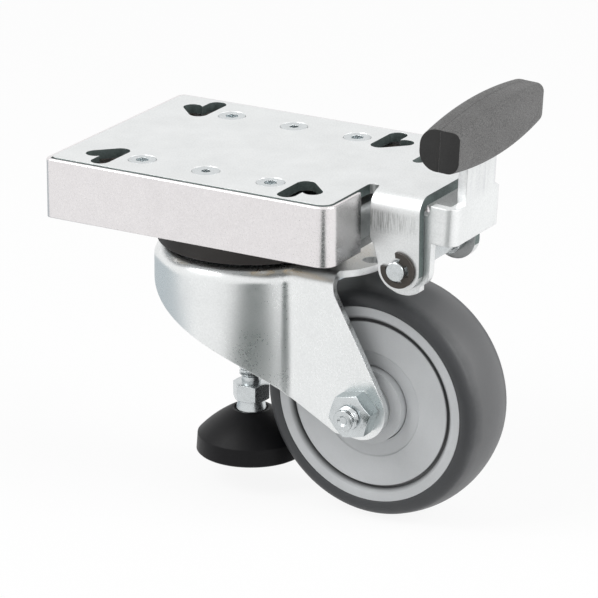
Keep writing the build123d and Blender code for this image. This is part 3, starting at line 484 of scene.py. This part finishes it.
class CASTOR_OT_pressed_steel(bpy.types.Operator):
    """Finish the zinc-plated plate, carrier, bracket, fork and lever"""

    bl_idname = "castor.pressed_steel"
    bl_label = "Pressed Steel"

    def execute(self, context):
        zinc = tuple(colours().zinc)
        plate = metal_finish("plate_zinc", shaded(zinc, 0.9), roughness=(0.32, 0.46), contrast=0.10,
                             fine=1500.0, broad=55.0, radius=sizes().edge_rounding)
        dress(plate, "lift_bracket", "lift_arm")
        # Painted shade: the carrier is the plate's zinc darkened to stand for the shade it sits in under the
        # top plate.
        inside = metal_finish("carrier_zinc_painted_shade", shaded(zinc, 0.55), roughness=(0.35, 0.5), contrast=0.25,
                              fine=1300.0, broad=70.0, radius=sizes().edge_rounding)
        dress(inside, "carrier_plate")
        make_top_plate(plate)
        drawn = metal_finish("drawn_zinc", zinc, roughness=(0.24, 0.36), contrast=0.07, fine=1500.0,
                             broad=40.0,
                             grain=0.000005, radius=sizes().edge_rounding)
        make_fork_shell(drawn)
        bent = metal_finish("lever_zinc", zinc, roughness=(0.36, 0.5), contrast=0.09, fine=1500.0, broad=50.0,
                            radius=0.0006)
        tree = bent.node_tree
        drawn_out = spread(tree, streaks(tree, 300.0, 14.0), 0.45, 0.75, 0.0, 0.35)
        blade = spread(tree, own_place(tree)[2], -4.0 * MM, 0.0)
        overlay(bent, maths(tree, "MULTIPLY", drawn_out, blade), (0.5, 0.5, 0.54))
        dress(bent, "lever_plate")
        return {"FINISHED"}


class CASTOR_OT_housing_skirt(bpy.types.Operator):
    """Finish the silver skirt round the plate"""

    bl_idname = "castor.housing_skirt"
    bl_label = "Housing Skirt"

    def execute(self, context):
        paint = metal_finish("silver_paint", tuple(colours().skirt), metallic=1.0, roughness=(0.2, 0.3),
                             contrast=0.07, fine=2200.0, broad=160.0, share=0.8, radius=0.0005, wear=0.3)
        skirt = copied("skirt", "skirt_rounded")
        top = max(v.co.z for v in skirt.data.vertices)
        pick_edges(skirt, lambda edge: sharp(edge, 60) and all(top - v.co.z < 0.02 * MM for v in edge.verts))
        bpy.ops.mesh.bevel(offset=sizes().skirt_edge_rounding, segments=4, affect="EDGES")
        bpy.ops.object.mode_set(mode="OBJECT")
        seated(skirt, "housing", "skirt_finish", paint, "skirt")
        return {"FINISHED"}


class CASTOR_OT_small_metal(bpy.types.Operator):
    """Finish the screws, pins, races, kingpin and other small metal pieces"""

    bl_idname = "castor.small_metal"
    bl_label = "Small Metal Pieces"

    def execute(self, context):
        plated = metal_finish("fastener_zinc", (0.6, 0.63, 0.64), roughness=(0.2, 0.32), contrast=0.12,
                              fine=2500.0, broad=300.0, radius=0.0002)
        dress(plated, "plate_screws", "middle_screws", "lever_pin", "pin_collar", "kingpin_nut", "axle_bolt",
              "axle_nut", "foot_stem")
        turned = metal_finish("turned_steel", (0.55, 0.56, 0.57), roughness=(0.25, 0.4), contrast=0.1,
                              fine=2500.0, broad=200.0, radius=0.0002)
        dress(turned, "guide_posts", "stop_posts", "foot_sleeve", "kingpin", "upper_race", "lower_race",
              "axle_sleeve", "axle_collars", "lever_hub")
        polished = metal_finish("polished_balls", (0.8, 0.8, 0.8), roughness=(0.06, 0.12), contrast=0.03,
                                fine=3000.0, radius=0.0)
        dress(polished, "race_balls")
        spring = metal_finish("dark_spring_steel", (0.07, 0.062, 0.055), metallic=0.6, roughness=(0.4, 0.55),
                              contrast=0.25, fine=3000.0, broad=400.0, radius=0.0002, worn=(0.25, 0.24, 0.22))
        dress(spring, "pin_clips")
        make_axle_nut(plated)
        make_axle_bolt(plated)
        make_foot_stem(plated)
        bronze = metal_finish("bearing_bronze", (0.60, 0.42, 0.20), roughness=(0.3, 0.45), contrast=0.12)
        dress(bronze, "guide_bushes", "thrust_washer")
        return {"FINISHED"}


class CASTOR_OT_wheel(bpy.types.Operator):
    """Finish the tyre, the moulded rim, its covers and the bush"""

    bl_idname = "castor.wheel"
    bl_label = "Wheel"

    def execute(self, context):
        rubber = plastic_finish("tyre_rubber", tuple(colours().tyre), roughness=(0.42, 0.55), contrast=0.12,
                                grain=0.00001, scale=1500.0, cloud=45.0, radius=0.0004)
        dress(rubber, "tyre")
        # Painted sheen on the tread.
        paint_tread_sheen(rubber)
        rim = plastic_finish("rim_plastic", tuple(colours().rim), roughness=(0.36, 0.48), contrast=0.06,
                             grain=0.000006)
        # Painted shade in the groove round the cover.
        paint_groove_shade(rim)
        dress(rim, "cover_near", "cover_far")
        make_rim(rim)
        nylon = plastic_finish("bush_nylon", (0.7, 0.7, 0.67), roughness=(0.4, 0.5), contrast=0.04)
        dress(nylon, "hub_bush")
        return {"FINISHED"}


class CASTOR_OT_foot_and_seal(bpy.types.Operator):
    """Finish the foot pad and the dust ring"""

    bl_idname = "castor.foot_and_seal"
    bl_label = "Foot Pad and Dust Ring"

    def execute(self, context):
        black = plastic_finish("pad_plastic", (0.007, 0.007, 0.008), roughness=(0.36, 0.48),
                               contrast=0.2, specular=0.16)
        dress(black, "foot_pad")
        seal = plastic_finish("seal_plastic", (0.022, 0.018, 0.016), roughness=(0.5, 0.65), contrast=0.2)
        dress(seal, "dust_ring")
        return {"FINISHED"}


class CASTOR_OT_grip(bpy.types.Operator):
    """Make the moulded grip of the lever"""

    bl_idname = "castor.grip"
    bl_label = "Lever Grip"

    def execute(self, context):
        grip = plastic_finish("grip_plastic", tuple(colours().grip), roughness=(0.5, 0.65), contrast=0.45,
                              grain=0.00007, scale=1900.0, share=0.18, specular=0.35)
        # Painted shade: the grip's end faces get a much darker copy of the grip's plastic.
        end = plastic_finish("grip_end_painted_shade", shaded(tuple(colours().grip), 0.2), roughness=(0.45, 0.6),
                             contrast=0.2, grain=0.00003, scale=1500.0, specular=0.3)
        for side in ("inner", "outer"):
            make_grip_half("handle_" + side, grip, end)
        return {"FINISHED"}


class CASTOR_OT_studio(bpy.types.Operator):
    """Add the floor, the lamps, the world and the camera"""

    bl_idname = "castor.studio"
    bl_label = "Studio"

    def execute(self, context):
        make_floor()
        make_world()
        floor_card("front_card", 34.0, 0.15, 0.95, 0.21, (0.045, 0.065, 0.06))
        floor_card("left_card", -92.0, 0.12, 0.9, 0.36, (0.52, 0.57, 0.60))
        soft_lamp("key", (-0.9, -1.1, 1.5), 1.2, 24.0)
        soft_lamp("side", (1.5, 0.2, 0.8), 0.9, 18.0)
        make_camera()
        return {"FINISHED"}


# ---------------------------------------------------------------- pieces

def make_fork_shell(material):
    """The pressed fork with the thin waste left in front of each cheek's top cut away."""
    fork = copied("fork", "fork_shell")
    deck_low = FORK_HIGH.z - FORK_SHEET
    bpy.ops.object.select_all(action="DESELECT")
    bpy.ops.mesh.primitive_cube_add(size=1, location=(AXLE_X - FORK_WASTE_BACK, 0, deck_low - 0.49 * MM))
    cutter = bpy.context.active_object
    cutter.dimensions = (FORK_WASTE_LENGTH, 2.2 * FORK_HIGH.y, 1.0 * MM)
    bpy.ops.object.transform_apply(location=True, rotation=True, scale=True)
    only(fork)
    trim = fork.modifiers.new("trim", "BOOLEAN")
    trim.operation = "DIFFERENCE"
    trim.solver = "EXACT"
    trim.object = cutter
    bpy.ops.object.modifier_apply(modifier="trim")
    bpy.data.objects.remove(cutter)
    seated(fork, "swivel", "zinc", material, "fork")


def make_top_plate(material):
    """The top plate with its sheared walls darkened by painted shade, and the press marks across its ears."""
    plate = copied("top_plate", "top_plate_sheared")
    tree = material.node_tree
    east, north, height = own_place(tree)
    ear = spread(tree, maths(tree, "ABSOLUTE", north), EAR_SIDE, EAR_SIDE + 0.3 * MM)
    upper = spread(tree, height, -8.0 * MM, -6.6 * MM, 1.0, 0.0)
    lower = spread(tree, height, -17.0 * MM, -13.5 * MM)
    band = maths(tree, "MULTIPLY", ear, maths(tree, "MULTIPLY", upper, lower))
    drag = spread(tree, streaks(tree, 1500.0, 130.0), 0.4, 0.66, 0.05, 0.85)
    fade = spread(tree, east, 72 * MM, 92 * MM, 1.0, 0.25)
    overlay(material, maths(tree, "MULTIPLY", maths(tree, "MULTIPLY", band, drag), fade), (0.24, 0.25, 0.24))
    seated(plate, "housing", "zinc", material, "top_plate")
    # Painted shade: the plate's upright walls, outside the ears, get a dark copy of the zinc for the shade in
    # its notch and slots.
    shaded_wall = metal_finish("painted_shade_wall", (0.15, 0.185, 0.18), metallic=0.8, roughness=(0.4, 0.55),
                        contrast=0.3,
                        fine=1800.0, broad=300.0, radius=0.0003, worn=(0.7, 0.72, 0.72))

    def is_wall(face):
        centre = face.calc_center_median()
        ear_side = centre.x > EAR_START_X and abs(face.normal.y) > 0.5
        return abs(face.normal.z) < 0.3 and not ear_side

    refinish(plate, shaded_wall, is_wall)


def make_axle_nut(material):
    """The axle nut, its flats darker than its bright face by painted shade."""
    nut = copied("axle_nut", "axle_nut_chamfered")
    seated(nut, "swivel", "fastener", material, "axle_nut")
    # Painted shade: the flats get a darker copy of the nut's plating.
    shaded_flats = metal_finish("nut_flats_painted_shade", (0.36, 0.41, 0.42), roughness=(0.22, 0.34), contrast=0.14, fine=2500.0,
                         broad=300.0, radius=0.0002)
    refinish(nut, shaded_flats, lambda face: abs(face.normal.y) < 0.35)


def make_axle_bolt(material):
    """The axle bolt with a threaded, dimpled end standing out of its nut."""
    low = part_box("axle_bolt")[0]
    nut_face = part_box("axle_nut")[0].y
    bolt = copied("axle_bolt", "axle_bolt_threaded")
    root = nut_face + 1.0 * MM
    cut_off(bolt, (AXLE_X, root, AXLE_Z), (0, -1, 0))
    end = threaded_rod("axle_bolt_end", ROD_RADIUS, root - low.y)
    turn_into_place(end, Matrix.Rotation(-math.pi / 2, 4, "X"), (AXLE_X, low.y, AXLE_Z))
    only(bolt)
    end.select_set(True)
    bpy.ops.object.join()
    seated(bolt, "swivel", "fastener", material, "axle_bolt")


def make_foot_stem(material):
    """The foot's stem, threaded from its neck to its top."""
    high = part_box("foot_stem")[1]
    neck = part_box("foot_pad")[0].z + STEM_NECK_RISE
    stem = copied("foot_stem", "foot_stem_threaded")
    cut_off(stem, (0, 0, neck), (0, 0, 1))
    rod = threaded_rod("foot_stem_rod", ROD_RADIUS, high.z - neck + 1.0 * MM)
    turn_into_place(rod, Matrix.Rotation(math.pi, 4, "X"), (0, 0, high.z))
    only(stem)
    rod.select_set(True)
    bpy.ops.object.join()
    seated(stem, "foot_stem", "bright_steel", material, "foot_stem")


def make_rim(material):
    """The moulded rim, hollowed inside its lips."""
    rim = copied("wheel_rim", "wheel_rim_hollowed")
    face = max(v.co.y for v in rim.data.vertices if radial(v.co) > 35 * MM)

    def on_lip(edge):
        return sharp(edge, 50) and all(
            abs(abs(v.co.y) - face) < 0.05 * MM and abs(radial(v.co) - RIM_BORE) < 0.5 * MM
            for v in edge.verts)

    pick_edges(rim, on_lip)
    bpy.ops.mesh.bevel(offset=sizes().rim_lip_rounding, segments=6, profile=0.5, affect="EDGES")
    bpy.ops.object.mode_set(mode="OBJECT")
    seated(rim, "wheel", "rim_plastic", material, "wheel_rim")


def make_grip_half(node, flank, end):
    """One moulded half of the grip: rounded edges, a fine parting line and smooth ends darkened with painted
    shade.
    """
    half = copied(node, node + "_moulded")
    pick_edges(half, lambda edge: sharp(edge, 40))
    bpy.ops.mesh.bevel(offset=sizes().grip_edge_rounding, segments=3, affect="EDGES", clamp_overlap=True)
    bpy.ops.object.mode_set(mode="OBJECT")
    seated(half, "lever", "grip_plastic", flank, node)
    # Painted shade on the end faces.
    refinish(half, end, lambda face: abs(face.normal.y) > 0.9)


def radial(point):
    """Distance from the wheel's axle."""
    return math.hypot(point.x - AXLE_X, point.z - AXLE_Z)


def paint_tread_sheen(material):
    """A painted sheen: a lighter band round the tread between the tyre's shoulders."""
    tree = material.node_tree
    across = maths(tree, "ABSOLUTE", own_place(tree)[1])
    wander = spread(tree, noise(tree, 70.0, 4.0, 0.6), 0.3, 0.7, -1.2 * MM, 1.2 * MM)
    band = spread(tree, maths(tree, "ADD", across, wander), 9.5 * MM, 14.5 * MM, 1.0, 0.0)
    overlay(material, band, (0.1, 0.102, 0.105))


def paint_groove_shade(material):
    """Painted shade: a dark ring between the rim and its cover, fading out over the rim's hollow."""
    tree = material.node_tree
    east, north, height = own_place(tree)
    along = maths(tree, "POWER", maths(tree, "SUBTRACT", east, AXLE_X), 2.0)
    above = maths(tree, "POWER", maths(tree, "SUBTRACT", height, AXLE_Z), 2.0)
    distance = maths(tree, "SQRT", maths(tree, "ADD", along, above))
    inside = spread(tree, distance, COVER_EDGE, COVER_EDGE + 0.25 * MM)
    hollow = spread(tree, distance, RIM_BORE + 0.1 * MM, RIM_BORE + 1.8 * MM, 0.8, 0.0)
    overlay(material, maths(tree, "MULTIPLY", inside, hollow), (0.05, 0.05, 0.052))


# ---------------------------------------------------------------- studio

def floor_card(name, bearing, near, far, width, colour):
    """A card lying just over the floor, seen only as a reflection in the metal."""
    bpy.ops.object.select_all(action="DESELECT")
    bpy.ops.mesh.primitive_grid_add(x_subdivisions=2, y_subdivisions=2, size=1)
    card = bpy.context.active_object
    card.name = name
    turn = math.radians(bearing)
    reach = (near + far) / 2
    card.scale = (width, far - near, 1)
    card.rotation_euler = (0, 0, turn)
    card.location = (math.sin(turn) * reach, -math.cos(turn) * reach, WHEEL_LOW.z + 1.0 * MM)
    bpy.ops.object.transform_apply(location=True, rotation=True, scale=True)
    material, tree, _ = blank_material(name + "_paint")
    glow = tree.nodes.new("ShaderNodeEmission")
    glow.inputs["Color"].default_value = (*colour, 1)
    tree.links.new(glow.outputs[0], tree.nodes["Material Output"].inputs["Surface"])
    card.data.materials.append(material)
    card.visible_camera = card.visible_diffuse = card.visible_shadow = card.visible_transmission = False


def make_floor():
    """A wide pale floor under the wheel that keeps a light shadow."""
    bpy.ops.object.select_all(action="DESELECT")
    bpy.ops.mesh.primitive_grid_add(x_subdivisions=2, y_subdivisions=2, size=12, location=(0, 0, WHEEL_LOW.z))
    floor = bpy.context.active_object
    floor.name = "studio_floor"
    bpy.ops.object.transform_apply(location=True, rotation=False, scale=False)
    material, tree, shader = blank_material("floor_paint")
    shader.inputs["Base Color"].default_value = (0.9, 0.9, 0.9, 1)
    shader.inputs["Roughness"].default_value = 0.9
    glow = tree.nodes.new("ShaderNodeEmission")
    mix = tree.nodes.new("ShaderNodeMixShader")
    tree.links.new(maths(tree, "MULTIPLY", seen_directly(tree), 0.9), mix.inputs[0])
    tree.links.new(shader.outputs[0], mix.inputs[1])
    tree.links.new(glow.outputs[0], mix.inputs[2])
    tree.links.new(mix.outputs[0], tree.nodes["Material Output"].inputs["Surface"])
    floor.data.materials.append(material)


def seen_directly(tree):
    """1 for camera, glossy and transmission rays, else 0."""
    path = tree.nodes.new("ShaderNodeLightPath")
    glossy = maths(tree, "MAXIMUM", path.outputs["Is Glossy Ray"], path.outputs["Is Transmission Ray"])
    return maths(tree, "MAXIMUM", path.outputs["Is Camera Ray"], glossy)


def make_world():
    """White where the camera looks, and plain soft light for the rest."""
    world = bpy.data.worlds.new("studio_air")
    bpy.context.scene.world = world
    world.use_nodes = True
    tree = world.node_tree
    background = tree.nodes["Background"]
    background.inputs["Color"].default_value = (1, 1, 1, 1)
    strength = maths(tree, "ADD", maths(tree, "MULTIPLY", seen_directly(tree), 0.58), 0.42)
    tree.links.new(strength, background.inputs["Strength"])


def soft_lamp(name, place, size, power):
    """A square soft lamp aimed at the castor's middle."""
    lamp = bpy.data.lights.new(name, "AREA")
    lamp.size = size
    lamp.energy = power
    holder = bpy.data.objects.new(name, lamp)
    bpy.context.scene.collection.objects.link(holder)
    holder.location = place
    aim = Vector((0.02, 0, -0.07)) - Vector(place)
    holder.rotation_euler = aim.to_track_quat("-Z", "Y").to_euler()


def make_camera():
    """The camera of the main view, three quarters from the front left and above."""
    azimuth, elevation, roll = math.radians(29.898), math.radians(19.467), math.radians(0.125)
    back = Vector((math.sin(azimuth) * math.cos(elevation), -math.cos(azimuth) * math.cos(elevation),
                   math.sin(elevation)))
    level = Vector((math.cos(azimuth), math.sin(azimuth), 0))
    upright = back.cross(level)
    right = level * math.cos(roll) + upright * math.sin(roll)
    up = back.cross(right)
    data = bpy.data.cameras.new("main_view")
    data.sensor_width = 36
    data.lens = 237.14
    data.clip_start = 0.05
    data.clip_end = 50
    camera = bpy.data.objects.new("main_view", data)
    bpy.context.scene.collection.objects.link(camera)
    camera.matrix_world = Matrix((
        (right.x, up.x, back.x, 0.78243), (right.y, up.y, back.y, -1.32106), (right.z, up.z, back.z, 0.47733),
        (0, 0, 0, 1)))
    bpy.context.scene.camera = camera
    bpy.context.scene.view_settings.view_transform = "Standard"


# ---------------------------------------------------------------- panel and start

STEPS = (
    CASTOR_OT_pressed_steel, CASTOR_OT_housing_skirt, CASTOR_OT_small_metal, CASTOR_OT_wheel,
    CASTOR_OT_foot_and_seal, CASTOR_OT_grip, CASTOR_OT_studio,
)


class CASTOR_PT_steps(bpy.types.Panel):
    """Lists the castor's settings and steps"""

    bl_idname = "CASTOR_PT_steps"
    bl_label = "Levelling Castor"
    bl_space_type = "VIEW_3D"
    bl_region_type = "UI"
    bl_category = "Castor"

    def draw(self, context):
        layout = self.layout
        for group in (context.scene.castor_sizes, context.scene.castor_colours):
            for key in group.bl_rna.properties.keys():
                if key not in ("rna_type", "name"):
                    layout.prop(group, key)
        for step in STEPS:
            layout.operator(step.bl_idname)


CLASSES = (CastorSizes, CastorColours, *STEPS, CASTOR_PT_steps)


def register():
    for cls in CLASSES:
        bpy.utils.register_class(cls)
    bpy.types.Scene.castor_sizes = PointerProperty(type=CastorSizes)
    bpy.types.Scene.castor_colours = PointerProperty(type=CastorColours)


def unregister():
    del bpy.types.Scene.castor_colours
    del bpy.types.Scene.castor_sizes
    for cls in reversed(CLASSES):
        bpy.utils.unregister_class(cls)


def main():
    register()
    for step in STEPS:
        area, name = step.bl_idname.split(".")
        getattr(getattr(bpy.ops, area), name)()


if __name__ == "__main__":
    main()
